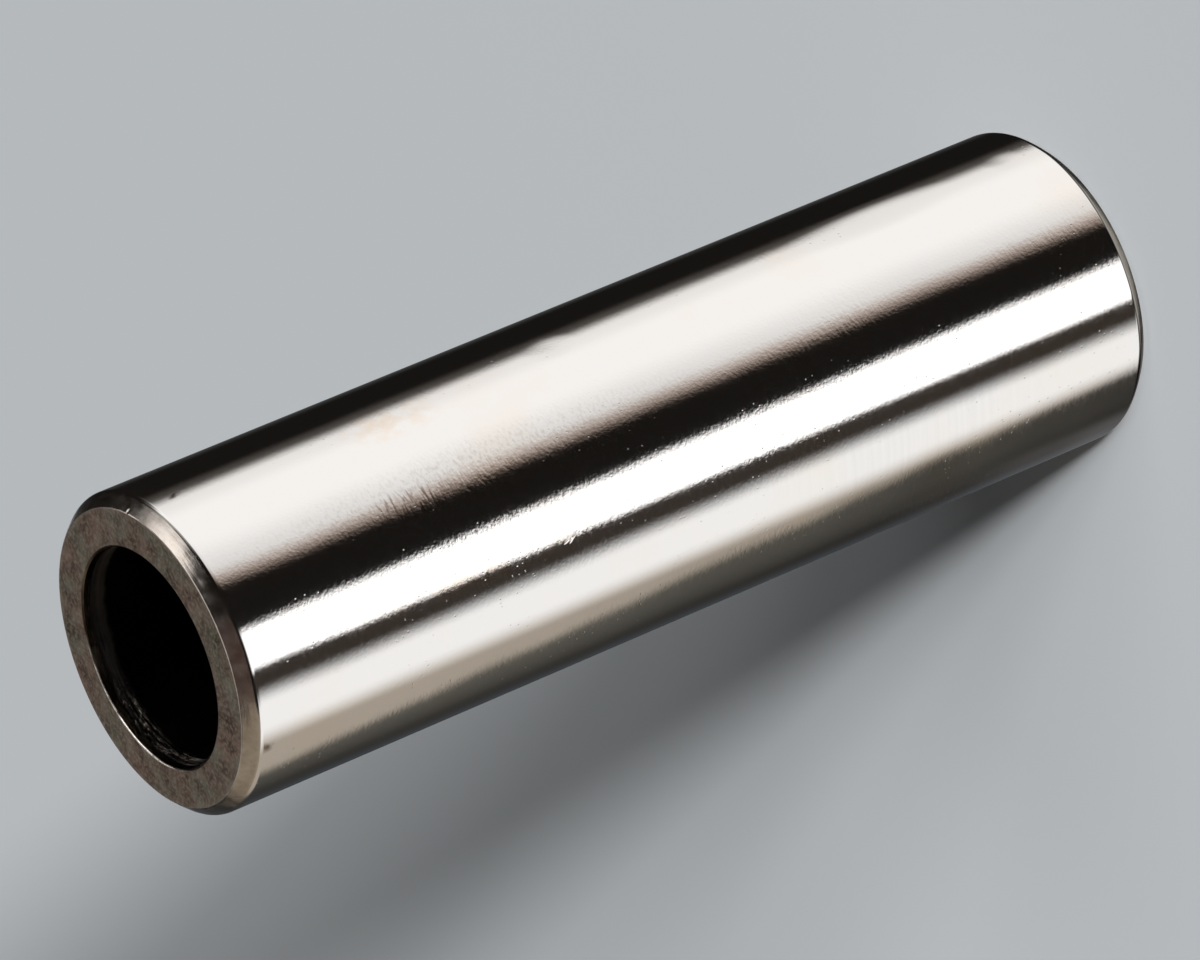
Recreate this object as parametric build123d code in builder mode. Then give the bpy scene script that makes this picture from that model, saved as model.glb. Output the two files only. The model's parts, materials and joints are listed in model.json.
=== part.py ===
from build123d import *
import os

# A hollow gudgeon pin, turned and ground from one bar of case-hardened steel.
# It stands on one end: the axis is +Z and the origin is the centre of the lower end face.
# All sizes are in millimetres.

# Body
outside_diameter = 18.0      # ground running surface for the piston bosses and the rod's small end
bore_diameter = 12.2         # plain through bore that lightens the pin
pin_length = 60.0            # from one end face to the other

# End chamfer, the lead that lets the pin enter its bosses
end_chamfer_length = 0.75    # measured along the axis
end_chamfer_depth = 0.65     # measured inwards from the outside
shoulder_radius = 0.5        # rounds the corner where the chamfer meets the outside

# Bore mouth, a short slow cone with a broken edge
mouth_length = 0.45          # from the end face down to the straight bore
mouth_widening = 0.06        # how far the cone stands back from the bore's wall
edge_break = 0.07            # 45 degree break between the cone and the end face

# Radii of the half section
outer_radius = outside_diameter / 2
bore_radius = bore_diameter / 2
face_outer_radius = outer_radius - end_chamfer_depth
cone_radius = bore_radius + mouth_widening
face_inner_radius = cone_radius + edge_break


def end_corners(face_height, inward):
    """Corners of the wall at one end, from the straight bore round to the outside.

    inward is +1 at the lower end and -1 at the upper end: the way into the pin along its axis.
    """
    return [
        (bore_radius, face_height + inward * mouth_length),
        (cone_radius, face_height + inward * edge_break),
        (face_inner_radius, face_height),
        (face_outer_radius, face_height),
        (outer_radius, face_height + inward * end_chamfer_length),
    ]


# The wall's half section, swept once round the axis
lower_end = end_corners(0, +1)
upper_end = end_corners(pin_length, -1)

with BuildPart() as gudgeon_pin:
    with BuildSketch(Plane.XZ) as half_section:
        with BuildLine():
            Polyline(*lower_end, *reversed(upper_end), close=True)
        make_face()
        shoulder_corners = half_section.vertices().group_by(Axis.X)[-1]
        fillet(shoulder_corners, radius=shoulder_radius)
    revolve(axis=Axis.Z)

gudgeon_pin.part.label = "gudgeon_pin"

os.makedirs("parts", exist_ok=True)
export_step(gudgeon_pin.part, "parts/gudgeon_pin.step")
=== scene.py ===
# %% [markdown]
# # A ground gudgeon pin
#
# A gudgeon pin joins a piston to its connecting rod. It is one piece of hardened steel: a short
# thick-walled tube, ground and lapped outside until it is nearly a mirror, with chamfered ends,
# dull ground end faces and a bore that is left dark from heat treatment.
#
# There is almost no shape to hide behind here. What makes such a pin look real is the section of
# its ends, to a few hundredths of a millimetre, and what its outside reflects.
#
# Its size and place are settled in CAD. They could be typed in again, but a scene that loads the
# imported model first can't drift away from it.

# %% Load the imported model
import json
import math

import bmesh
import bpy
from mathutils import Matrix, Vector


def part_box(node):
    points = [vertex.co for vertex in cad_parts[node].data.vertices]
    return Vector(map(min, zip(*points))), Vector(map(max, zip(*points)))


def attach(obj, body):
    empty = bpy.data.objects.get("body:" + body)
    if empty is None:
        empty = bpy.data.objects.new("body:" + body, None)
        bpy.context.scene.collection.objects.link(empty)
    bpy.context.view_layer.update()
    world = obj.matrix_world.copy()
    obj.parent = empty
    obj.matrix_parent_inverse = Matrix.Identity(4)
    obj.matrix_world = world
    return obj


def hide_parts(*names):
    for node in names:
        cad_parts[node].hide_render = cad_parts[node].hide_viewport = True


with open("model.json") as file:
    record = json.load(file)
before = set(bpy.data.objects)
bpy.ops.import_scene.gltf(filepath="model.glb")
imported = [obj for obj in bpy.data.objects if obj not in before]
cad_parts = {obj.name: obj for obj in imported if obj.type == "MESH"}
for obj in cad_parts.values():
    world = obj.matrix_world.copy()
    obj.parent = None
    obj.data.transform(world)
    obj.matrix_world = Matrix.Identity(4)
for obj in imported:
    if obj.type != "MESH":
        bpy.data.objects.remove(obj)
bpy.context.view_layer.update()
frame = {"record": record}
scene = bpy.context.scene
scene.view_settings.view_transform = "Standard"

# %% [markdown]
# ## Sizes
#
# The outside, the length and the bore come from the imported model. The small sizes of the ends are
# the ones that a drawing of the pin would give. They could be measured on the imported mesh, but its
# facets are nearly as large as they are. Everything is in metres, so millimetres are multiplied
# by `MM`.

# %% Driving sizes
MM = 0.001
low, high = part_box("gudgeon_pin")
mount_sizes = {mount["name"]: mount["dims"] for mount in frame["record"]["mounts"]}

pin_length = high.z - low.z
outer_radius = min(-low.x, high.x, -low.y, high.y)
bore_radius = mount_sizes["through_bore"]["r_mm"] * MM

end_chamfer_length = 0.75 * MM
end_chamfer_depth = 0.65 * MM
mouth_length = 0.45 * MM
mouth_widening = 0.06 * MM
edge_break = 0.07 * MM
print(f"pin {2000 * outer_radius:.1f} x {1000 * pin_length:.1f} mm, bore {2000 * bore_radius:.1f} mm")

# %% [markdown]
# ## The half section
#
# On a lathe the whole pin is one profile turned about its axis, so it is modelled the same way:
# the wall's outline in radius and height, then one turn. A cylinder with a hole cut in it would be
# quicker, but no real edge is perfectly sharp. A corner with a tiny round catches a thin line of
# light, and that line is what tells the eye it is steel, so every corner gets its own radius. The
# big one, half a millimetre, is the blend from the chamfer to the ground outside. The chamfer
# itself is crowned by a hair, as hand polishing does.
#
# Each corner names the finish of its own round, and two lists name the finish of the stretches
# between them.

# %% Corners of the wall, lower end first and then back along the upper end
CROWN_SHARE = 0.018  # how far the chamfer bulges, as a share of its own slope

face_outer_radius = outer_radius - end_chamfer_depth
cone_radius = bore_radius + mouth_widening
face_inner_radius = cone_radius + edge_break
crown_radius = (face_outer_radius + outer_radius) / 2 + CROWN_SHARE * end_chamfer_length
crown_height = end_chamfer_length / 2 - CROWN_SHARE * end_chamfer_depth

END_CORNERS = [
    # radius, height above the end face, round of the corner, finish of the round
    (bore_radius, mouth_length, 0.05 * MM, "mouth"),
    (cone_radius, edge_break, 0.03 * MM, "mouth"),
    (face_inner_radius, 0.0, 0.10 * MM, "mouth"),
    (face_outer_radius, 0.0, 0.10 * MM, "chamfer"),
    (crown_radius, crown_height, 3.5 * MM, "chamfer"),
    (outer_radius, end_chamfer_length, 0.50 * MM, "chamfer"),
]
LOWER_FINISHES = ["mouth", "mouth", "face", "chamfer", "chamfer", "outside"]
UPPER_FINISHES = ["chamfer", "chamfer", "face", "mouth", "mouth", "bore"]

lower_end = [(r, low.z + h, rounding, finish) for r, h, rounding, finish in END_CORNERS]
upper_end = [(r, high.z - h, rounding, finish) for r, h, rounding, finish in reversed(END_CORNERS)]
corners = lower_end + upper_end
stretches = LOWER_FINISHES + UPPER_FINISHES
print(len(corners), "corners in the half section")

# %% [markdown]
# ## Rounding the corners
#
# A Bevel modifier could round the edges after the turning. Rounding the outline itself gives each
# corner its own radius and each point its true normal. The outline runs anticlockwise, so the
# metal is on its left and the outward normal is the direction of travel turned a quarter to the
# right. A mirror shows the smallest error in a normal as a kink in a reflection, and normals
# averaged from neighbouring faces are exactly such an error.

# %% Points of the outline with their normals
ARC_STEP = math.radians(5)


def rounded_corner(before, corner, after):
    """Points (radius, height) with outward normals along the arc that replaces one corner."""
    here = Vector(corner[:2])
    rounding = corner[2]
    way_in = (here - Vector(before[:2])).normalized()
    way_out = (Vector(after[:2]) - here).normalized()
    turn = way_in.angle(way_out)
    normal = Vector((way_in.y, -way_in.x))
    start = here - way_in * rounding * math.tan(turn / 2)
    centre = start - normal * rounding
    steps = max(2, math.ceil(turn / ARC_STEP))
    arc = []
    for step in range(steps + 1):
        turned = normal.copy()
        turned.rotate(Matrix.Rotation(turn * step / steps, 2))
        arc.append((centre + turned * rounding, turned))
    return arc


outline = []
for i, corner in enumerate(corners):
    arc = rounded_corner(corners[i - 1], corner, corners[(i + 1) % len(corners)])
    outline += [(point, normal, corner[3]) for point, normal in arc[:-1]]
    outline.append((*arc[-1], stretches[i]))
print(len(outline), "points in the rounded outline")

# %% [markdown]
# ## Turning it
#
# Blender has a Screw modifier and a Spin operator for this. Rings made in `bmesh` do the same and
# let us say two more things: which finish each band of faces has, and the exact normal of every
# vertex. 288 steps to a turn keep the silhouette smooth even in a close view.

# %% One turn of the outline
TURN_STEPS = 288
FINISH_ORDER = ["outside", "chamfer", "face", "mouth", "bore"]
UPWARD = Vector((0, 0, 1))


def turned_pin(name):
    """The whole pin as one closed mesh, a band of quads between each two points of the outline."""
    bm = bmesh.new()
    rings, normals = [], []
    for point, normal, _ in outline:
        ring = []
        for step in range(TURN_STEPS):
            angle = 2 * math.pi * step / TURN_STEPS
            across = Vector((math.cos(angle), math.sin(angle), 0))
            ring.append(bm.verts.new(across * point.x + UPWARD * point.y))
            normals.append(across * normal.x + UPWARD * normal.y)
        rings.append(ring)
    for i, ring in enumerate(rings):
        following = rings[(i + 1) % len(rings)]
        for step in range(TURN_STEPS):
            after = (step + 1) % TURN_STEPS
            quad = bm.faces.new((ring[step], ring[after], following[after], following[step]))
            quad.smooth = True
            quad.material_index = FINISH_ORDER.index(outline[i][2])
    mesh = bpy.data.meshes.new(name)
    bm.to_mesh(mesh)
    bm.free()
    mesh.normals_split_custom_set_from_vertices(normals)
    pin = bpy.data.objects.new(name, mesh)
    scene.collection.objects.link(pin)
    return pin


gudgeon_pin = turned_pin("ground_gudgeon_pin")
print(len(gudgeon_pin.data.polygons), "quads round the pin")

# %% [markdown]
# ## Bare steel
#
# All five finishes of the pin are bare steel, so they share one Principled shader set to metal.
# They differ in colour, in roughness and in the marks that grinding, turning or heat left. Such
# marks could be painted on a flat picture and wrapped round the pin. Patterns that nodes work out
# need no wrapping, have no seam, and stay sharp however close the view.
#
# Nodes can be placed by hand in the Shader Editor. `node` does the same in one call: it makes a
# node, fills its inputs with numbers or with outputs of other nodes, and returns the output that
# is wanted. So each finish below reads as a recipe.

# %% A new steel and its nodes
LAPPED_COLOUR = (0.79, 0.765, 0.74)


def node(tree, kind, inputs, output, **settings):
    """Makes a node, sets or links its inputs, and returns one of its outputs."""
    made = tree.nodes.new("ShaderNode" + kind)
    for name, value in settings.items():
        setattr(made, name, value)
    for name, value in inputs.items():
        if isinstance(value, bpy.types.NodeSocket):
            tree.links.new(value, made.inputs[name])
        else:
            made.inputs[name].default_value = value
    return made.outputs[output]


def new_steel(name, colour, roughness):
    """A new material of bare metal, with its plain colour and roughness."""
    material = bpy.data.materials.new(name)
    material.use_nodes = True
    shader = material.node_tree.nodes["Principled BSDF"]
    shader.inputs["Metallic"].default_value = 1.0
    shader.inputs["Base Color"].default_value = (*colour, 1)
    shader.inputs["Roughness"].default_value = roughness
    return material


outside_steel = new_steel("outside_steel", LAPPED_COLOUR, 0.07)
outside = outside_steel.node_tree
print("outside_steel starts with", len(outside.nodes), "nodes")

# %% [markdown]
# ## Ground and lapped outside
#
# Near-mirror steel, faintly warm. Its marks are laid over each other, from the slowest to the
# finest. The slowest is a waviness that lets the edges of long reflections wander. It could be
# moulded into the mesh, but waves six hundredths of a millimetre deep show only in what the steel
# mirrors, so a bump is enough.
#
# The marks are noise in object coordinates. They are counted per millimetre, across the pin and
# along it, so their size can be read off directly.

# %% Waviness
WAVE_DEPTH = 0.065 * MM


def place(tree, per_mm_across, per_mm_along):
    """Object coordinates, scaled to that many units per millimetre across and along the pin."""
    here = node(tree, "TexCoord", {}, "Object")
    scales = (per_mm_across / MM, per_mm_across / MM, per_mm_along / MM)
    return node(tree, "VectorMath", {0: here, 1: scales}, "Vector", operation="MULTIPLY")


def marks(tree, per_mm_across, per_mm_along, detail=2.0):
    """Noise with that many features per millimetre across and along the pin."""
    position = place(tree, per_mm_across, per_mm_along)
    return node(tree, "TexNoise", {"Vector": position, "Scale": 1.0, "Detail": detail}, "Fac")


def relief(tree, height, depth, below=None, strength=1.0):
    """Bumps of that depth in metres, laid over another relief if there is one."""
    inputs = {"Height": height, "Distance": depth, "Strength": strength}
    if below is not None:
        inputs["Normal"] = below
    return node(tree, "Bump", inputs, "Normal")


surface = relief(outside, marks(outside, 0.08, 0.10, detail=1.0), WAVE_DEPTH)
print(f"waves {WAVE_DEPTH / MM:.3f} mm deep")

# %% [markdown]
# Grinding leaves short streaks round the pin, which come and go in patches, and a fine grain.
# Scratches could be drawn one by one. Noise that is slower across the pin than along it draws
# thousands of them, and they close round the pin by themselves.
#
# A noise hovers between about 0.3 and 0.7. `ramp` stretches that range, or any part of it, to the
# numbers that are wanted, and holds still beyond it. A ramp that starts at 0.5 leaves only the
# peaks of the noise.

# %% Streaks and grain
WHOLE_NOISE = (0.3, 0.7)


def ramp(tree, factor, start, end, at_start=0.0, at_end=1.0, smooth=False):
    """Runs from at_start to at_end while the factor runs from start to end."""
    inputs = {
        "Value": factor,
        "From Min": start,
        "From Max": end,
        "To Min": at_start,
        "To Max": at_end,
    }
    kind = "SMOOTHSTEP" if smooth else "LINEAR"
    return node(tree, "MapRange", inputs, "Result", interpolation_type=kind)


patches = ramp(outside, marks(outside, 0.10, 0.13, detail=1.0), 0.46, 0.66, 0.10, 1.0)
streaks = marks(outside, 2.2, 5.0)
grain = marks(outside, 6.0, 6.0, detail=1.0)
print("outside_steel has", len(outside.nodes), "nodes so far")

# %% [markdown]
# Pits are tiny holes where grit or rust bit into the steel. Modelled holes would need millions of
# faces. Instead they are the dots of a Voronoi texture: the distance to the nearest dot, cut off
# at a pit's radius, is the shape of a pit. The dots are scattered through space, so only the few
# that happen to lie close to the surface dent it.

# %% Pits
PITS_PER_MM = 2.2
PIT_RADIUS_MM = 0.060
PIT_DEPTH = 0.006 * MM

scattered = place(outside, PITS_PER_MM, PITS_PER_MM)
dot_distance = node(outside, "TexVoronoi", {"Vector": scattered, "Scale": 1.0}, "Distance")
pits = ramp(outside, dot_distance, 0.0, PIT_RADIUS_MM * PITS_PER_MM)
pitted = ramp(outside, marks(outside, 0.16, 0.16, detail=1.0), 0.46, 0.56)
surface = relief(outside, pits, PIT_DEPTH, surface, pitted)
print("pits", round(2 * PIT_RADIUS_MM, 2), "mm across")

# %% [markdown]
# ## Marks with a place of their own
#
# Noise puts marks anywhere, but some marks are this pin's own. Their places could be numbers in X
# and Y, which nobody can picture. They are given as someone would chalk them on the pin: a
# bearing in degrees, counted from the side that faces the photograph's camera, and a height above
# the lower end.

# %% Bearings round the pin
PHOTO_AZIMUTH = math.radians(45)
towards_camera = Vector((math.sin(PHOTO_AZIMUTH), -math.cos(PHOTO_AZIMUTH), 0))
sideways = Vector((math.cos(PHOTO_AZIMUTH), math.sin(PHOTO_AZIMUTH), 0))


def outward_at(bearing_degrees):
    """The level direction at that bearing, from the camera's side round towards sideways."""
    around = math.radians(bearing_degrees)
    return towards_camera * math.cos(around) + sideways * math.sin(around)


print("bearing 0 points to", [round(value, 3) for value in outward_at(0)])

# %% [markdown]
# `spot` moves the object coordinates to such a place, turns them, divides them by the spot's half
# length and half width, and reads a spherical gradient there. Decals, small meshes laid over the
# steel, could do the same, but each would show its edge in the reflections.
#
# The first use is a big one: the side where the pin was scoured is one very long spot.

# %% A spot for the scoured side
SCOURED_SIDE = (14.0, 36.0, 50.0, 7.0)  # bearing, height, half length, half width


def along(tree, vector, axis):
    """How far a vector reaches along an axis."""
    return node(tree, "VectorMath", {0: vector, 1: axis}, "Value", operation="DOT_PRODUCT")


def spot(tree, bearing_on_pin, height, half_length, half_width, lean=0.0, radius=outer_radius):
    """1 in the middle of a spot on the pin, falling to 0 at its rim. Degrees and millimetres."""
    outward = outward_at(bearing_on_pin)
    turned = math.radians(lean)
    lengthwise = UPWARD * math.cos(turned) + UPWARD.cross(outward) * math.sin(turned)
    crosswise = outward.cross(lengthwise)
    middle = outward * radius + UPWARD * (height * MM)
    here = node(tree, "TexCoord", {}, "Object")
    moved = node(tree, "VectorMath", {0: here, 1: middle}, "Vector", operation="SUBTRACT")
    parts = {
        "X": along(tree, moved, lengthwise / (half_length * MM)),
        "Y": along(tree, moved, crosswise / (half_width * MM)),
        "Z": along(tree, moved, outward / (outer_radius * 2)),
    }
    local = node(tree, "CombineXYZ", parts, "Vector")
    return node(tree, "TexGradient", {"Vector": local}, "Fac", gradient_type="SPHERICAL")


scoured_side = ramp(outside, spot(outside, *SCOURED_SIDE), 0.0, 0.5, 0.25, 1.0)
print("scoured side at bearing, height, half length, half width:", SCOURED_SIDE)

# %% [markdown]
# The streaks and the grain are strongest on the scoured side. They could be painted there and
# nowhere else, but the lap touched the whole pin, so they only grow fainter away from it. Marks
# this shallow are invisible in the middle of a reflection. They show where black meets white, as
# they do on a real pin.

# %% Lay the streaks and the grain over the waves
STREAK_DEPTH = 0.0075 * MM
GRAIN_DEPTH = 0.0032 * MM


def calculate(tree, operation, first, second=0.0):
    """One Math node. Its inputs are numbers or outputs of other nodes."""
    return node(tree, "Math", {0: first, 1: second}, "Value", operation=operation)


streaked = calculate(outside, "MULTIPLY", patches, scoured_side)
surface = relief(outside, streaks, STREAK_DEPTH, surface, streaked)
surface = relief(outside, grain, GRAIN_DEPTH, surface, scoured_side)
print(f"streaks {STREAK_DEPTH / MM:.4f} mm deep, grain {GRAIN_DEPTH / MM:.4f} mm")

# %% [markdown]
# A nick, struck by something hard, is two tiny slanted grooves. Three shallow dents are smooth:
# they can't be seen themselves, but a reflection's edge bulges over them. All of them could be
# pressed into the mesh, which would then have to be many times finer just there. As reliefs they
# cost nothing and bend the reflections in the same way.

# %% The nick and the dents
GROOVES = [
    # bearing, height, half length, half width, lean, depth in millimetres
    (-17.3, 38.9, 0.55, 0.10, -22.0, 0.030),
    (-17.5, 38.75, 0.40, 0.08, -40.0, 0.025),
]
DENTS = [
    # bearing, height, half length, half width, depth in millimetres
    (50.0, 12.5, 6.0, 1.6, 0.048),
    (51.5, 34.0, 1.8, 1.2, 0.026),
    (52.0, 3.2, 1.3, 1.1, 0.018),
]


def feed(tree, socket_name, pattern):
    """Links a pattern to one of the steel's own inputs: its colour, roughness or normal."""
    tree.links.new(pattern, tree.nodes["Principled BSDF"].inputs[socket_name])


for *where, depth in GROOVES:
    surface = relief(outside, spot(outside, *where), -depth * MM, surface)
for *where, depth in DENTS:
    hollow = ramp(outside, spot(outside, *where), 0.0, 1.0, smooth=True)
    surface = relief(outside, hollow, -depth * MM, surface)
feed(outside, "Normal", surface)
print(len(GROOVES), "grooves and", len(DENTS), "dents")

# %% [markdown]
# The colour of lapped steel is nearly even, but one flat colour would look like plastic film. The
# real one has hairlines round it, here strongest in one band, and a faint warm film here and
# there, the first trace of oxide. Each is one colour mixed over the last by its own pattern, as a
# painter lays glazes.

# %% Colour of the outside: hairlines and film
CLEAN_COLOUR = (0.795, 0.770, 0.745)
HAIRLINE_COLOUR = (0.768, 0.743, 0.718)
FILM_COLOUR = (0.80, 0.735, 0.66)
HAIRLINE_BAND = (-33.0, 16.5, 11.0, 3.5)  # bearing, height, half length, half width


def mixed(tree, factor, first, second):
    """Two colours blended by a factor. Each is three numbers or an output of a node."""
    inputs = {"Factor": factor, "A": first, "B": second}
    for name in ("A", "B"):
        if isinstance(inputs[name], tuple):
            inputs[name] = (*inputs[name], 1)
    return node(tree, "Mix", inputs, "Result", data_type="RGBA")


hairline_band = ramp(outside, spot(outside, *HAIRLINE_BAND), 0.0, 0.6, 0.10, 1.0)
hairlines = ramp(outside, marks(outside, 0.10, 3.2, detail=3.0), *WHOLE_NOISE)
hairlines = calculate(outside, "MULTIPLY", hairlines, hairline_band)
colour = mixed(outside, hairlines, CLEAN_COLOUR, HAIRLINE_COLOUR)
film = ramp(outside, marks(outside, 0.14, 0.14, detail=3.0), 0.52, 0.70, 0.0, 0.5)
colour = mixed(outside, film, colour, FILM_COLOUR)
print("outside_steel has", len(outside.nodes), "nodes so far")

# %% [markdown]
# The scoured side carries fine dull specks, which thicken into short dashes near the upper end.
# They are spots of torn steel that mirror less light back. Roughness alone would only blur the
# stripe they lie in, so they are darker in colour. A noise gives their shape, and a spot says
# where they lie.

# %% Colour of the outside: specks and dashes
SPECK_COLOUR = (0.50, 0.44, 0.39)
DASH_COLOUR = (0.30, 0.24, 0.20)
SPECKLED_SIDE = (14.5, 43.5, 17.5, 2.4)  # bearing, height, half length, half width
DASHED_PATCH = (14.5, 47.0, 3.4, 1.0)

specks = ramp(outside, marks(outside, 3.2, 5.5), 0.48, 0.74)
speckled_side = ramp(outside, spot(outside, *SPECKLED_SIDE), 0.0, 0.7, 0.0, 0.55)
speckled = calculate(outside, "MULTIPLY", specks, speckled_side)
colour = mixed(outside, speckled, colour, SPECK_COLOUR)

dashes = ramp(outside, marks(outside, 1.3, 6.5, detail=1.0), 0.50, 0.66)
dashed_patch = ramp(outside, spot(outside, *DASHED_PATCH), 0.0, 0.6, 0.0, 0.9)
dashed = calculate(outside, "MULTIPLY", dashes, dashed_patch)
colour = mixed(outside, dashed, colour, DASH_COLOUR)
print("specks along", 2 * SPECKLED_SIDE[2], "mm, dashes along", 2 * DASHED_PATCH[2], "mm")

# %% [markdown]
# Two small warm brown hazes lie beside the bright stripes, and two small dark spots sit at the
# upper end's shoulder; the one at bearing 54 is a painted dark notch in the stripe's reflection.
# All four are the same thing, a spot broken up by clouds, so one table and one loop make them.
# The roughness follows the streaks, because a streak is where the lap missed.

# %% Warm hazes, dark spots and gloss of the outside
WARM_HAZE_COLOUR = (0.78, 0.54, 0.32)
DARK_SPOT_COLOUR = (0.16, 0.12, 0.10)
BLEMISHES = [
    # bearing, height, half length, half width, lean, gradient where it is full, strength, colour
    (-17.5, 44.5, 7.5, 0.7, 0.0, 0.7, 0.35, WARM_HAZE_COLOUR),
    (47.0, 44.8, 3.6, 1.7, 0.0, 0.7, 0.35, WARM_HAZE_COLOUR),
    # A painted dark notch in the reflection at the edge of a stripe.
    (54.0, 57.6, 0.7, 0.22, -20.0, 0.5, 1.0, DARK_SPOT_COLOUR),
    (-46.0, 59.2, 0.9, 0.5, 15.0, 0.5, 1.0, DARK_SPOT_COLOUR),
]

cloudy = ramp(outside, marks(outside, 1.1, 1.1, detail=3.0), 0.36, 0.62)
for *where, full_at, strength, blemish_colour in BLEMISHES:
    share = ramp(outside, spot(outside, *where), 0.0, full_at, 0.0, strength)
    share = calculate(outside, "MULTIPLY", share, cloudy)
    colour = mixed(outside, share, colour, blemish_colour)
feed(outside, "Base Color", colour)
feed(outside, "Roughness", ramp(outside, streaks, *WHOLE_NOISE, 0.050, 0.095))
print("outside_steel has", len(outside.nodes), "nodes")

# %% [markdown]
# ## Chamfer
#
# Turned on a lathe and then blended by hand: rougher and browner than the outside, so reflections
# in it are there but soft. The blend into the outside was polished along with it. Two steels that
# simply meet would show a hard line there. So the distance from the axis tells how far the polish
# reaches, and over the last tenth of a millimetre colour, roughness and marks all run over to
# those of the outside.

# %% How far the polish reaches
POLISH_FROM_MM = outer_radius / MM - 0.13
POLISH_TO_MM = outer_radius / MM - 0.01

chamfer_steel = new_steel("chamfer_steel", (0.70, 0.66, 0.61), 0.16)
chamfer = chamfer_steel.node_tree


def axis_distance(tree):
    """Distance from the pin's axis in millimetres."""
    return node(tree, "VectorMath", {0: place(tree, 1.0, 0.0)}, "Value", operation="LENGTH")


polish = ramp(chamfer, axis_distance(chamfer), POLISH_FROM_MM, POLISH_TO_MM)
unpolished = ramp(chamfer, polish, 0.0, 1.0, 1.0, 0.0)
print(f"polish between radius {POLISH_FROM_MM:.2f} and {POLISH_TO_MM:.2f} mm")

# %% [markdown]
# Handling has left the chamfer blotchy, the lathe tool left fine rings, and one small knock at
# the face's edge glints. Colour, roughness and relief could each have a noise of their own. They
# share one for the blotches, because a real blotch changes all three in the same place.

# %% Chamfer
BLOTCH_COLOUR = (0.56, 0.51, 0.46)
HANDLED_COLOUR = (0.76, 0.72, 0.68)
POLISHED_ROUGHNESS = 0.08
BLOTCH_DEPTH = 0.009 * MM
TURNING_DEPTH = 0.006 * MM
KNOCK_DEPTH = 0.05 * MM
KNOCK = (61.5, 59.93, 0.15, 0.12)  # bearing, height, half length, half width

turning = marks(chamfer, 0.8, 9.0)
blotches = marks(chamfer, 1.45, 1.45, detail=3.0)
handled = mixed(chamfer, ramp(chamfer, blotches, *WHOLE_NOISE), BLOTCH_COLOUR, HANDLED_COLOUR)
feed(chamfer, "Base Color", mixed(chamfer, polish, handled, LAPPED_COLOUR))
dull = ramp(chamfer, blotches, *WHOLE_NOISE, 0.15, 0.27)
feed(chamfer, "Roughness", ramp(chamfer, polish, 0.0, 1.0, dull, POLISHED_ROUGHNESS))

worn = relief(chamfer, blotches, BLOTCH_DEPTH, strength=unpolished)
worn = relief(chamfer, turning, TURNING_DEPTH, worn, unpolished)
knock = spot(chamfer, *KNOCK, radius=face_outer_radius + 0.06 * MM)
feed(chamfer, "Normal", relief(chamfer, knock, -KNOCK_DEPTH, worn))
print("chamfer_steel has", len(chamfer.nodes), "nodes")

# %% [markdown]
# ## End face
#
# Rough ground and stained: a dull brown grey with clouds a millimetre across, in places browner
# and in places greener, and a coarse grit. It could be made as paint, but paint has a pale sheen
# at a low angle and steel hasn't. So it is metal too, only so rough that it mirrors nothing.

# %% End face: stains
BROWN_DARK, BROWN_LIGHT = (0.112, 0.076, 0.058), (0.370, 0.260, 0.205)
GREEN_DARK, GREEN_LIGHT = (0.088, 0.084, 0.058), (0.290, 0.278, 0.215)

face_steel = new_steel("face_steel", (0.30, 0.26, 0.22), 0.45)
face = face_steel.node_tree
clouds = marks(face, 0.9, 0.9, detail=2.5)
cloud_tone = ramp(face, clouds, 0.32, 0.68)
brownish = mixed(face, cloud_tone, BROWN_DARK, BROWN_LIGHT)
greenish = mixed(face, cloud_tone, GREEN_DARK, GREEN_LIGHT)
hue = ramp(face, marks(face, 0.45, 0.45, detail=2.5), 0.42, 0.58)
stained = mixed(face, hue, brownish, greenish)
print("face_steel has", len(face.nodes), "nodes so far")

# %% [markdown]
# The grit is what the grinding wheel left: bright torn points in the colour, and the same points
# standing up in the relief. Grains scattered on the face would be real relief, but they would
# make the pin longer than its CAD. Towards its outer edge the steel is a little brighter, partly
# rubbed steel and partly a painted highlight along the edge.

# %% End face: grit and a rubbed, highlighted edge
GRIT_COLOUR = (0.47, 0.40, 0.34)
RUBBED_HIGHLIGHT_COLOUR = (0.45, 0.40, 0.35)
RUB_AND_HIGHLIGHT_FROM_MM, RUB_AND_HIGHLIGHT_TO_MM = 8.0, 8.3
GRIT_DEPTH = 0.055 * MM
CLOUD_DEPTH = 0.06 * MM

grit = marks(face, 4.0, 4.0, detail=4.0)
gritty = mixed(face, ramp(face, grit, 0.44, 0.72, 0.0, 0.85), stained, GRIT_COLOUR)
# Partly rubbed steel, partly a painted highlight: the face grows brighter towards its outer edge.
rubbed_and_highlit = ramp(face, axis_distance(face), RUB_AND_HIGHLIGHT_FROM_MM, RUB_AND_HIGHLIGHT_TO_MM, 0.0, 0.35)
feed(face, "Base Color", mixed(face, rubbed_and_highlit, gritty, RUBBED_HIGHLIGHT_COLOUR))
ground_face = relief(face, grit, GRIT_DEPTH)
feed(face, "Normal", relief(face, clouds, CLOUD_DEPTH, ground_face))
feed(face, "Roughness", ramp(face, clouds, *WHOLE_NOISE, 0.50, 0.36))
print("face_steel has", len(face.nodes), "nodes")

# %% [markdown]
# ## Bore
#
# The bore keeps the black scale of heat treatment, so it swallows nearly all light. The tool that
# cut the mouth ran on about a millimetre past the cone, and left the wall there bare and grey,
# dimmer again close to the mouth. That band could be a strip of faces of its own, but its edge
# would then be dead straight. How far the tool ran varies a little round the bore, so noise is
# added to the depth before the two finishes are told apart.

# %% Where the bore is bare
BARE_DEPTH_MM = 1.35
WANDER_MM = 0.14
BLUR_INWARD_MM, BLUR_OUTWARD_MM = 0.16, 0.08
DIMMING_FROM_MM, DIMMING_TO_MM = 0.95, 0.65

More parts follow.
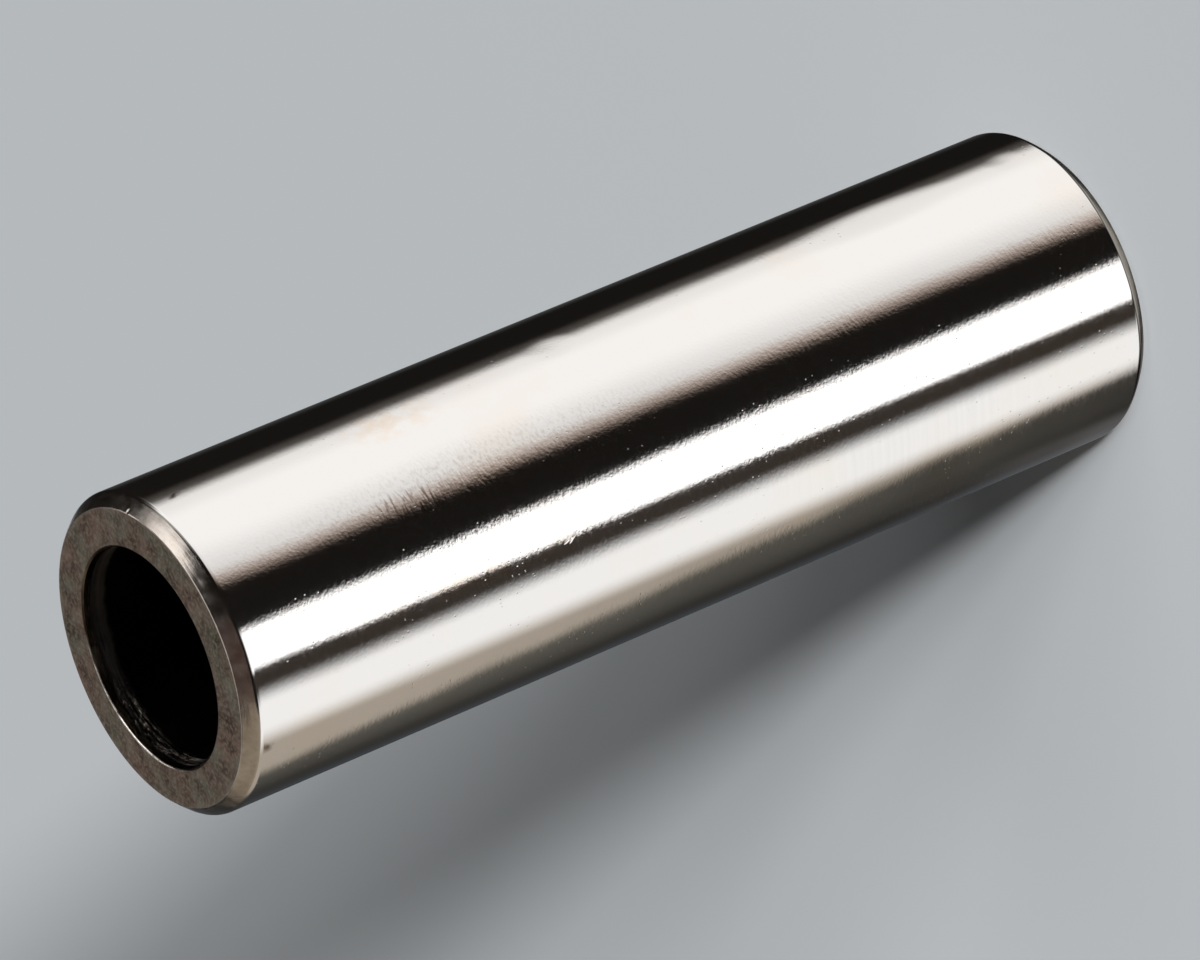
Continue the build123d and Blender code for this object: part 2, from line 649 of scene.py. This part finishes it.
bore_steel = new_steel("bore_steel", (0.045, 0.036, 0.032), 0.38)
bore = bore_steel.node_tree
half_pin = pin_length / 2 / MM
bare_from = half_pin - BARE_DEPTH_MM

height_in_pin = along(bore, place(bore, 1.0, 1.0), UPWARD)
from_middle = calculate(bore, "SUBTRACT", height_in_pin, low.z / MM + half_pin)
nearest_end = calculate(bore, "ABSOLUTE", from_middle)
wander = ramp(bore, marks(bore, 0.5, 0.5, detail=4.0), *WHOLE_NOISE, -WANDER_MM, WANDER_MM)
ragged = calculate(bore, "ADD", wander, nearest_end)
bare = ramp(bore, ragged, bare_from - BLUR_INWARD_MM, bare_from + BLUR_OUTWARD_MM)
dimming = ramp(bore, ragged, half_pin - DIMMING_FROM_MM, half_pin - DIMMING_TO_MM, 1.0, 0.45)
print(f"bare from {bare_from:.2f} mm off the middle")

# %% [markdown]
# The tool cut cleanly on one side and tore the steel on the other, where the band has small bright
# burrs and is painted darker, a painted shade. They could be two steels, but both sides have the
# same scored rings. So one noise draws the rings all round, and only their colours differ: soft
# greys on the clean side, black and bright on the shaded, torn one.

# %% Bore: scale and cut steel
SCALE_DARK, SCALE_LIGHT = (0.030, 0.022, 0.020), (0.065, 0.048, 0.042)
CUT_DARK, CUT_LIGHT = (0.34, 0.32, 0.31), (0.48, 0.46, 0.45)
SHADED_TORN_DARK, SHADED_TORN_LIGHT = (0.030, 0.024, 0.020), (0.62, 0.58, 0.54)

scale_tone = ramp(bore, marks(bore, 0.35, 0.35, detail=4.0), *WHOLE_NOISE)
scale = mixed(bore, scale_tone, SCALE_DARK, SCALE_LIGHT)

# Painted shade: the side of the bore facing away from sideways is painted darker.
shaded_torn_side = along(bore, place(bore, 1.0, 1.0), -sideways / (bore_radius / MM))
shaded_torn = ramp(bore, shaded_torn_side, -0.10, 0.35)
scored = marks(bore, 0.5, 6.0)
clean_cut = mixed(bore, ramp(bore, scored, *WHOLE_NOISE), CUT_DARK, CUT_LIGHT)
shaded_torn_cut = mixed(bore, ramp(bore, scored, 0.46, 0.60), SHADED_TORN_DARK, SHADED_TORN_LIGHT)
cut_steel = mixed(bore, shaded_torn, clean_cut, shaded_torn_cut)
cut_share = calculate(bore, "MULTIPLY", bare, dimming)
feed(bore, "Base Color", mixed(bore, cut_share, scale, cut_steel))
print("bore_steel has", len(bore.nodes), "nodes so far")

# %% [markdown]
# Burrs are slivers that stand up where the tool tore the steel, far too thin and too many to be
# modelled one by one. A coarse, deep relief takes their place. Its strength is the share of the
# shaded, torn side, so it fades out on the clean side and in the scale.

# %% Bore: gloss and burrs
BURR_DEPTH = 0.42 * MM
SCORE_DEPTH = 0.030 * MM

feed(bore, "Roughness", ramp(bore, bare, 0.0, 1.0, 0.42, 0.48))
shaded_torn_share = calculate(bore, "MULTIPLY", bare, shaded_torn)
burrs = relief(bore, marks(bore, 2.4, 2.4, detail=3.0), BURR_DEPTH, strength=shaded_torn_share)
feed(bore, "Normal", relief(bore, scored, SCORE_DEPTH, burrs))
print("bore_steel has", len(bore.nodes), "nodes")

# %% [markdown]
# ## Mouth
#
# The cone and the broken edge of the mouth are tarnished brown, except on one side: there the
# edge, but not the cone, is painted bright, a painted highlight that breaks up into sparks. Sparks
# could be glowing dots, but real ones come and go as the eye moves. Here they are bright steel
# where three things meet: the side of the painted highlight, the edge, and a gap in the tarnish.

# %% Mouth
# Painted highlight: the bearing of the side where the mouth's edge is painted bright.
HIGHLIGHT_BEARING = -148.0
TARNISH_DARK, TARNISH_LIGHT = (0.060, 0.044, 0.032), (0.20, 0.16, 0.12)
HIGHLIGHT_COLOUR = (0.92, 0.90, 0.87)
CUTTING_DEPTH = 0.012 * MM

mouth_steel = new_steel("mouth_steel", (0.50, 0.46, 0.42), 0.24)
mouth = mouth_steel.node_tree
highlight_way = outward_at(HIGHLIGHT_BEARING) / (bore_radius / MM)
highlighted_side = ramp(mouth, along(mouth, place(mouth, 1.0, 1.0), highlight_way), 0.55, 0.92)
tarnish = ramp(mouth, marks(mouth, 2.0, 2.0, detail=3.0), 0.42, 0.62, 1.0, 0.35)
on_edge = ramp(mouth, axis_distance(mouth), cone_radius / MM, cone_radius / MM + 0.02)
painted_highlight = calculate(mouth, "MULTIPLY", highlighted_side, tarnish)
painted_highlight = calculate(mouth, "MULTIPLY", painted_highlight, on_edge)
tarnished = mixed(mouth, tarnish, TARNISH_DARK, TARNISH_LIGHT)
feed(mouth, "Base Color", mixed(mouth, painted_highlight, tarnished, HIGHLIGHT_COLOUR))
feed(mouth, "Normal", relief(mouth, marks(mouth, 2.0, 8.0), CUTTING_DEPTH))
print("mouth_steel has", len(mouth.nodes), "nodes")

# %% [markdown]
# ## Five finishes on one mesh
#
# The pin could be five meshes with one steel each, but a real pin has no gaps between its
# finishes, and neighbouring meshes show one sooner or later. So it is one mesh with five material
# slots, and the turned bands already know the number of theirs.

# %% Give the mesh its finishes
FINISHES = {
    "outside": outside_steel,
    "chamfer": chamfer_steel,
    "face": face_steel,
    "mouth": mouth_steel,
    "bore": bore_steel,
}
for finish in FINISH_ORDER:
    gudgeon_pin.data.materials.append(FINISHES[finish])
print([slot.name for slot in gudgeon_pin.material_slots])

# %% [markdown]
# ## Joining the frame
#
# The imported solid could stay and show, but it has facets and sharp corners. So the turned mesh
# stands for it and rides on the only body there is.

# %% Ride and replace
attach(gudgeon_pin, "root")
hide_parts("gudgeon_pin")
print(gudgeon_pin.name, "rides on root and stands for gudgeon_pin")

# %% [markdown]
# ## Camera
#
# The pin stands on one end, because it would roll on its side. The photograph shows it lying, from
# half a metre away through a long lens, with its open end towards us. Laying the pin down would
# leave the frame of the CAD. The same picture of a standing pin needs only a camera that looks
# down on the open end and is rolled over.

# %% Camera
PHOTO_ELEVATION = math.radians(29.86)
PHOTO_ROLL = math.radians(-112.75)
PHOTO_LENS_MM = 282.0
SENSOR_WIDTH_MM = 36.0
PHOTO_DISTANCE = 502.3 * MM
AIM_HEIGHT = 30.76 * MM
AIM_BELOW_AXIS = 0.54 * MM
NEAREST_SEEN = 10 * MM
FARTHEST_SEEN = 100.0

back = towards_camera * math.cos(PHOTO_ELEVATION) + UPWARD * math.sin(PHOTO_ELEVATION)
level_up = back.cross(sideways)
right = sideways * math.cos(PHOTO_ROLL) + level_up * math.sin(PHOTO_ROLL)
up = level_up * math.cos(PHOTO_ROLL) - sideways * math.sin(PHOTO_ROLL)

camera_data = bpy.data.cameras.new("photo_camera")
camera_data.lens = PHOTO_LENS_MM
camera_data.sensor_width = SENSOR_WIDTH_MM
camera_data.clip_start = NEAREST_SEEN
camera_data.clip_end = FARTHEST_SEEN
camera = bpy.data.objects.new("photo_camera", camera_data)
scene.collection.objects.link(camera)
scene.camera = camera
aim = Vector((0, 0, low.z + AIM_HEIGHT)) - up * AIM_BELOW_AXIS
turned = Matrix((right, up, back)).transposed().to_4x4()
camera.matrix_world = Matrix.Translation(aim + back * PHOTO_DISTANCE) @ turned
print("camera at", [round(value, 4) for value in camera.location])

# %% [markdown]
# ## Floor
#
# A plain pale floor, in the grey blue that the photograph has under the pin. It is big, so that
# low views see no edge. Mirror rays from the pin's side all point downwards and would find
# nothing but floor. Whatever the steel should show could be painted on it, but then the camera
# would see that too. So the floor is left out of reflections, and the light boxes below reach
# under the horizon instead.

# %% Floor
FLOOR_COLOUR = (0.462, 0.485, 0.503)
FLOOR_SIZE = 20.0

floor_mesh = bpy.data.meshes.new("floor")
bm = bmesh.new()
bmesh.ops.create_grid(bm, x_segments=1, y_segments=1, size=FLOOR_SIZE / 2)
bm.to_mesh(floor_mesh)
bm.free()
floor = bpy.data.objects.new("floor", floor_mesh)
floor.location.z = low.z
floor.visible_glossy = False
scene.collection.objects.link(floor)
floor_paint = bpy.data.materials.new("floor_paint")
floor_paint.use_nodes = True
paint = floor_paint.node_tree.nodes["Principled BSDF"]
paint.inputs["Base Color"].default_value = (*FLOOR_COLOUR, 1)
paint.inputs["Roughness"].default_value = 0.9
paint.inputs["Specular IOR Level"].default_value = 0.0
floor_mesh.materials.append(floor_paint)
print("floor", FLOOR_SIZE, "metres wide, at height", round(floor.location.z, 4))

# %% [markdown]
# ## The studio
#
# A mirror shows the room, so the room is what has to be designed. A photographer lights a pin like
# this with a few long soft boxes in a dark room: each one becomes a bright stripe along the pin,
# and the dark between them becomes a black stripe. They could be glowing planes. Here they are
# patches of the world's sky, which costs no noise and reaches every view.
#
# Every direction of the sky is measured by two angles in degrees: a bearing, counted as on the
# pin, and an elevation above the horizon. On the pin's side a bearing shows up at half its angle,
# because a mirror doubles every turn.

# %% Bearing and elevation of the sky
DEGREES = 180 / math.pi

world = bpy.data.worlds.new("studio")
scene.world = world
world.use_nodes = True
world.cycles.sampling_method = "NONE"
sky = world.node_tree
sky.nodes.clear()

direction = node(sky, "TexCoord", {}, "Generated")
away = along(sky, direction, towards_camera)
aside = along(sky, direction, sideways)
bearing = calculate(sky, "MULTIPLY", calculate(sky, "ARCTAN2", aside, away), DEGREES)
whole_turn = calculate(sky, "FLOORED_MODULO", bearing, 360.0)
rise = calculate(sky, "ARCSINE", along(sky, direction, UPWARD))
elevation = calculate(sky, "MULTIPLY", rise, DEGREES)
print("the sky has", len(sky.nodes), "nodes to measure with")

# %% [markdown]
# Real boxes don't hang quite straight, so an edge may lean. It could lean all the way, but then it
# would end far from its place. So the lean only counts a few degrees either side of 30 below the
# horizon, which is where the photograph's mirror rays go. Another value lets an edge bend away
# towards the horizon, as the corner of a box does.

# %% Edges that lean and edges that bend
LEAN_FROM, LEAN_TO = -34.0, -25.0
LEAN_LEVEL = 30.0
BEND_FROM, BEND_TO = -24.0, -8.0
BEND_DEGREES = 12.0


def edge(value, dark_at, light_at):
    """0 at dark_at and beyond, 1 at light_at and beyond, smooth between."""
    return ramp(sky, value, dark_at, light_at, smooth=True)


held = calculate(sky, "MAXIMUM", elevation, LEAN_FROM)
held = calculate(sky, "MINIMUM", held, LEAN_TO)
lean_height = calculate(sky, "ADD", held, LEAN_LEVEL)


def leaning(lean):
    """The bearing, seen from an edge that leans that many degrees for each degree of height."""
    return calculate(sky, "SUBTRACT", bearing, calculate(sky, "MULTIPLY", lean_height, lean))


bend = calculate(sky, "MULTIPLY", edge(elevation, BEND_FROM, BEND_TO), BEND_DEGREES)
bending = calculate(sky, "ADD", bearing, bend)
print("edges lean between", LEAN_FROM, "and", LEAN_TO, "degrees")

# %% [markdown]
# A box adds its light to what is there already. Its share is a product of four smooth edges: two
# sides, a bottom and a top. A picture of a real studio could surround the pin, but nothing in it
# could be moved to where this pin needs it. Cloth at the rim of a box can glow warmer than its
# middle, so the colour may run from a rim tint to the full colour across the first side.

# %% How a box is made
ROOM = (0.0095, 0.0085, 0.0075)
glows = []


def soft_box(name, colour, first_side, second_side, heights, rim=None):
    """Adds a box. A side is a value, where it is dark and where it is light. The four heights
    are where the box starts, is full, is still full, and ends."""
    first = edge(*first_side)
    second = edge(*second_side)
    bottom = edge(elevation, heights[0], heights[1])
    top = edge(elevation, heights[3], heights[2])
    upright = calculate(sky, "MULTIPLY", bottom, top)
    share = calculate(sky, "MULTIPLY", calculate(sky, "MULTIPLY", first, second), upright)
    tints = {"Factor": first, "A": rim or colour, "B": colour}
    tint = node(sky, "Mix", tints, "Result", data_type="VECTOR")
    glows.append(node(sky, "VectorMath", {0: tint, "Scale": share}, "Vector", operation="SCALE"))
    print("box:", name)


print("the empty room glows", ROOM)

# %% [markdown]
# The lower row of boxes is what the pin's side mirrors. It begins under the horizon, because from
# above the side of a standing pin mirrors downwards. The rows are parted by a dark gap, and that
# gap becomes the thin dark line between the chamfer and the side.
#
# First the wide box, the broad white stripe on the pin. It could be one even patch, but the real
# stripe grows brighter away from the camera and ends in a faint hem of stray light. A fainter box
# inside it and a narrow one along its far side do that.

# %% Lower row: the wide box
LOWER = (-56.0, -43.0, 1.0, 8.0)

soft_box(
    "wide box with a warm rim",
    (0.86, 0.86, 0.86),
    (leaning(0.45), 21.0, 40.0),
    (bending, 113.0, 101.0),
    LOWER,
    rim=(1.10, 0.84, 0.70),
)
soft_box(
    "brighter part of the wide box",
    (0.28, 0.28, 0.28),
    (leaning(0.8), 33.0, 62.0),
    (bearing, 108.0, 84.0),
    LOWER,
)
soft_box(
    "hem of stray light",
    (0.075, 0.068, 0.062),
    (bending, 92.0, 104.0),
    (bending, 123.0, 111.0),
    LOWER,
)

# %% [markdown]
# On the camera's other side stand a narrow bright box and a low one, with a brown gap between
# them. They make the two white stripes that run close together down the pin. The gap could be
# left black, but dark cloth beside a lamp always takes on a little of its light.

# %% Lower row: the narrow box and the low box
soft_box(
    "narrow bright box",
    (1.5, 1.5, 1.52),
    (bearing, -36.6, -32.0),
    (leaning(-0.35), -2.1, -9.1),
    (-56.0, -43.0, -8.0, 16.0),
)
soft_box(
    "brown gap",
    (0.034, 0.027, 0.022),
    (bearing, -52.0, -44.0),
    (bearing, -30.0, -36.0),
    LOWER,
)
soft_box(
    "low box",
    (1.08, 1.09, 1.10),
    (bearing, -94.0, -76.0),
    (bearing, -45.0, -60.5),
    LOWER,
)

# %% [markdown]
# Behind the low box a warm board ends on a slant, and dim walls close the room. Without them the
# rim of the pin would fall off into plain black, and a real rim never does. The haze is the foot
# of the wall, where it meets the floor.

# %% Lower row: the board and the walls
soft_box(
    "warm board",
    (0.33, 0.285, 0.235),
    (leaning(-5.2), -109.0, -98.0),
    (bearing, -76.0, -90.0),
    LOWER,
)
soft_box(
    "dim wall",
    (0.111, 0.108, 0.096),
    (bearing, -162.0, -104.0),
    (bearing, -80.0, -94.0),
    (-36.0, -28.0, 2.0, 7.0),
)
soft_box(
    "far end of the dim wall",
    (0.040, 0.046, 0.052),
    (bearing, -181.0, -176.0),
    (bearing, -138.0, -166.0),
    LOWER,
)
soft_box(
    "wall round the corner",
    (0.050, 0.052, 0.052),
    (bearing, 150.0, 174.0),
    (bearing, 181.0, 178.0),
    LOWER,
)
soft_box(
    "haze at the foot of the wall",
    (0.100, 0.098, 0.100),
    (bearing, -181.0, -178.0),
    (bearing, -122.0, -142.0),
    (-56.0, -43.0, -33.4, -31.4),
)

# %% [markdown]
# The upper row is seen by the chamfers, the rounded edges and the dull end face. It could be the
# lower row made taller, but a chamfer looks another way than the side does, and on the real pin
# its lights sit at other places round the rim.

# %% Upper row
slanting = calculate(sky, "ADD", bearing, calculate(sky, "MULTIPLY", elevation, 0.6))

soft_box(
    "upper white box with a slanting side",
    (1.62, 1.55, 1.50),
    (slanting, 87.0, 99.0),
    (bearing, 116.0, 96.0),
    (12.0, 48.0, 62.0, 84.0),
)
soft_box(
    "grey card beside it",
    (0.45, 0.44, 0.43),
    (bearing, 44.0, 72.0),
    (bearing, 101.0, 86.0),
    (0.0, 6.0, 14.0, 26.0),
)
soft_box(
    "tan card",
    (0.30, 0.255, 0.20),
    (bearing, -142.0, -128.0),
    (bearing, -56.0, -68.0),
    (0.0, 8.0, 42.0, 48.0),
)
soft_box(
    "brown card",
    (0.075, 0.050, 0.044),
    (bearing, -80.0, -60.0),
    (bearing, 10.0, -6.0),
    (30.0, 40.0, 62.0, 70.0),
)
soft_box(
    "small bright lamp",
    (3.0, 2.9, 2.8),
    (bearing, 122.0, 128.0),
    (bearing, 142.0, 136.0),
    (31.0, 34.0, 40.0, 43.0),
)

# %% [markdown]
# Behind the pin hang a broad strip and a slit, which light the views from the back. More lamps
# could do that, but they would change the shadow. Both lie across the bearing where 180 jumps to
# -180, so their sides are measured on the whole turn, from 0 to 360.

# %% Strips behind the pin
soft_box(
    "broad strip behind",
    (0.34, 0.31, 0.28),
    (whole_turn, 112.0, 140.0),
    (whole_turn, 248.0, 220.0),
    (24.0, 34.0, 78.0, 90.0),
)
soft_box(
    "slit behind",
    (0.55, 0.55, 0.56),
    (whole_turn, 168.0, 173.0),
    (whole_turn, 190.0, 185.0),
    (-24.0, -19.0, 12.0, 22.0),
)

# %% [markdown]
# Last come the two things that are neither box nor wall: the ceiling straight above, and the floor
# itself. The floor is left out of mirror rays, so its tone is painted under the boxes instead. Both
# reach all the way round, so their sides are edges that everything lies beyond. Then the light of
# all boxes is added up.

# %% Ceiling, floor and the sum of the light
EVERYWHERE = (elevation, -91.0, -90.0)

soft_box("ceiling", (0.60, 0.58, 0.56), EVERYWHERE, EVERYWHERE, (62.0, 80.0, 91.0, 92.0))
soft_box("floor", (0.36, 0.355, 0.33), EVERYWHERE, EVERYWHERE, (-92.0, -91.0, -70.0, -55.0))

light = ROOM
for glow in glows:
    light = node(sky, "VectorMath", {0: light, 1: glow}, "Vector", operation="ADD")
print(len(glows), "boxes added up")

# %% [markdown]
# The boxes should show in the steel and nowhere else. Two pictures could be rendered and laid over
# each other. The Light Path node does it in one: mirror rays find the boxes, the camera finds the
# pale tone of the floor, and all other rays find a weak even fill, which is the light that a
# room's walls give back.

# %% What each kind of ray finds
FILL_SHARE = 0.07

boxes = node(sky, "Background", {"Color": light}, "Background")
pale = node(sky, "Background", {"Color": (*FLOOR_COLOUR, 1)}, "Background")
fill = node(sky, "Background", {"Color": (1, 1, 1, 1), "Strength": FILL_SHARE}, "Background")
mirror_ray = node(sky, "LightPath", {}, "Is Glossy Ray")
camera_ray = node(sky, "LightPath", {}, "Is Camera Ray")
by_mirror = node(sky, "MixShader", {"Fac": mirror_ray, 1: fill, 2: boxes}, "Shader")
by_camera = node(sky, "MixShader", {"Fac": camera_ray, 1: by_mirror, 2: pale}, "Shader")
sky.links.new(by_camera, sky.nodes.new("ShaderNodeOutputWorld").inputs["Surface"])
print("the sky has", len(sky.nodes), "nodes")

# %% [markdown]
# ## Key lights
#
# Four broad lamps stand beside the camera. They light the floor to its written colour and lay a
# soft shadow beside the pin. One lamp would give a shadow with a single edge. Here the lowest lamp
# is the strongest and the others stand ever higher, so the shadow is darkest close to the pin and
# fades outwards. They are kept out of mirror rays, because the soft boxes are what the steel
# shows.

# %% Lamps
LAMPS = [
    # name, bearing from the camera, elevation, width in degrees, share of the floor's light
    ("key_lamp", 9.0, 16.0, 6.0, 0.50),
    ("second_lamp", 15.0, 20.0, 8.0, 0.22),
    ("third_lamp", 26.0, 30.0, 12.0, 0.12),
    ("side_lamp", 48.0, 60.0, 16.0, 0.09),
]

for name, lamp_bearing, lamp_elevation, width, share in LAMPS:
    height = math.radians(lamp_elevation)
    from_lamp = outward_at(lamp_bearing) * math.cos(height) + UPWARD * math.sin(height)
    lamp_data = bpy.data.lights.new(name, "SUN")
    lamp_data.angle = math.radians(width)
    lamp_data.energy = share * math.pi / math.sin(height)
    lamp = bpy.data.objects.new(name, lamp_data)
    lamp.rotation_mode = "QUATERNION"
    lamp.rotation_quaternion = from_lamp.to_track_quat("Z", "Y")
    lamp.visible_glossy = False
    scene.collection.objects.link(lamp)
    print(name, "strength", round(lamp_data.energy, 2))
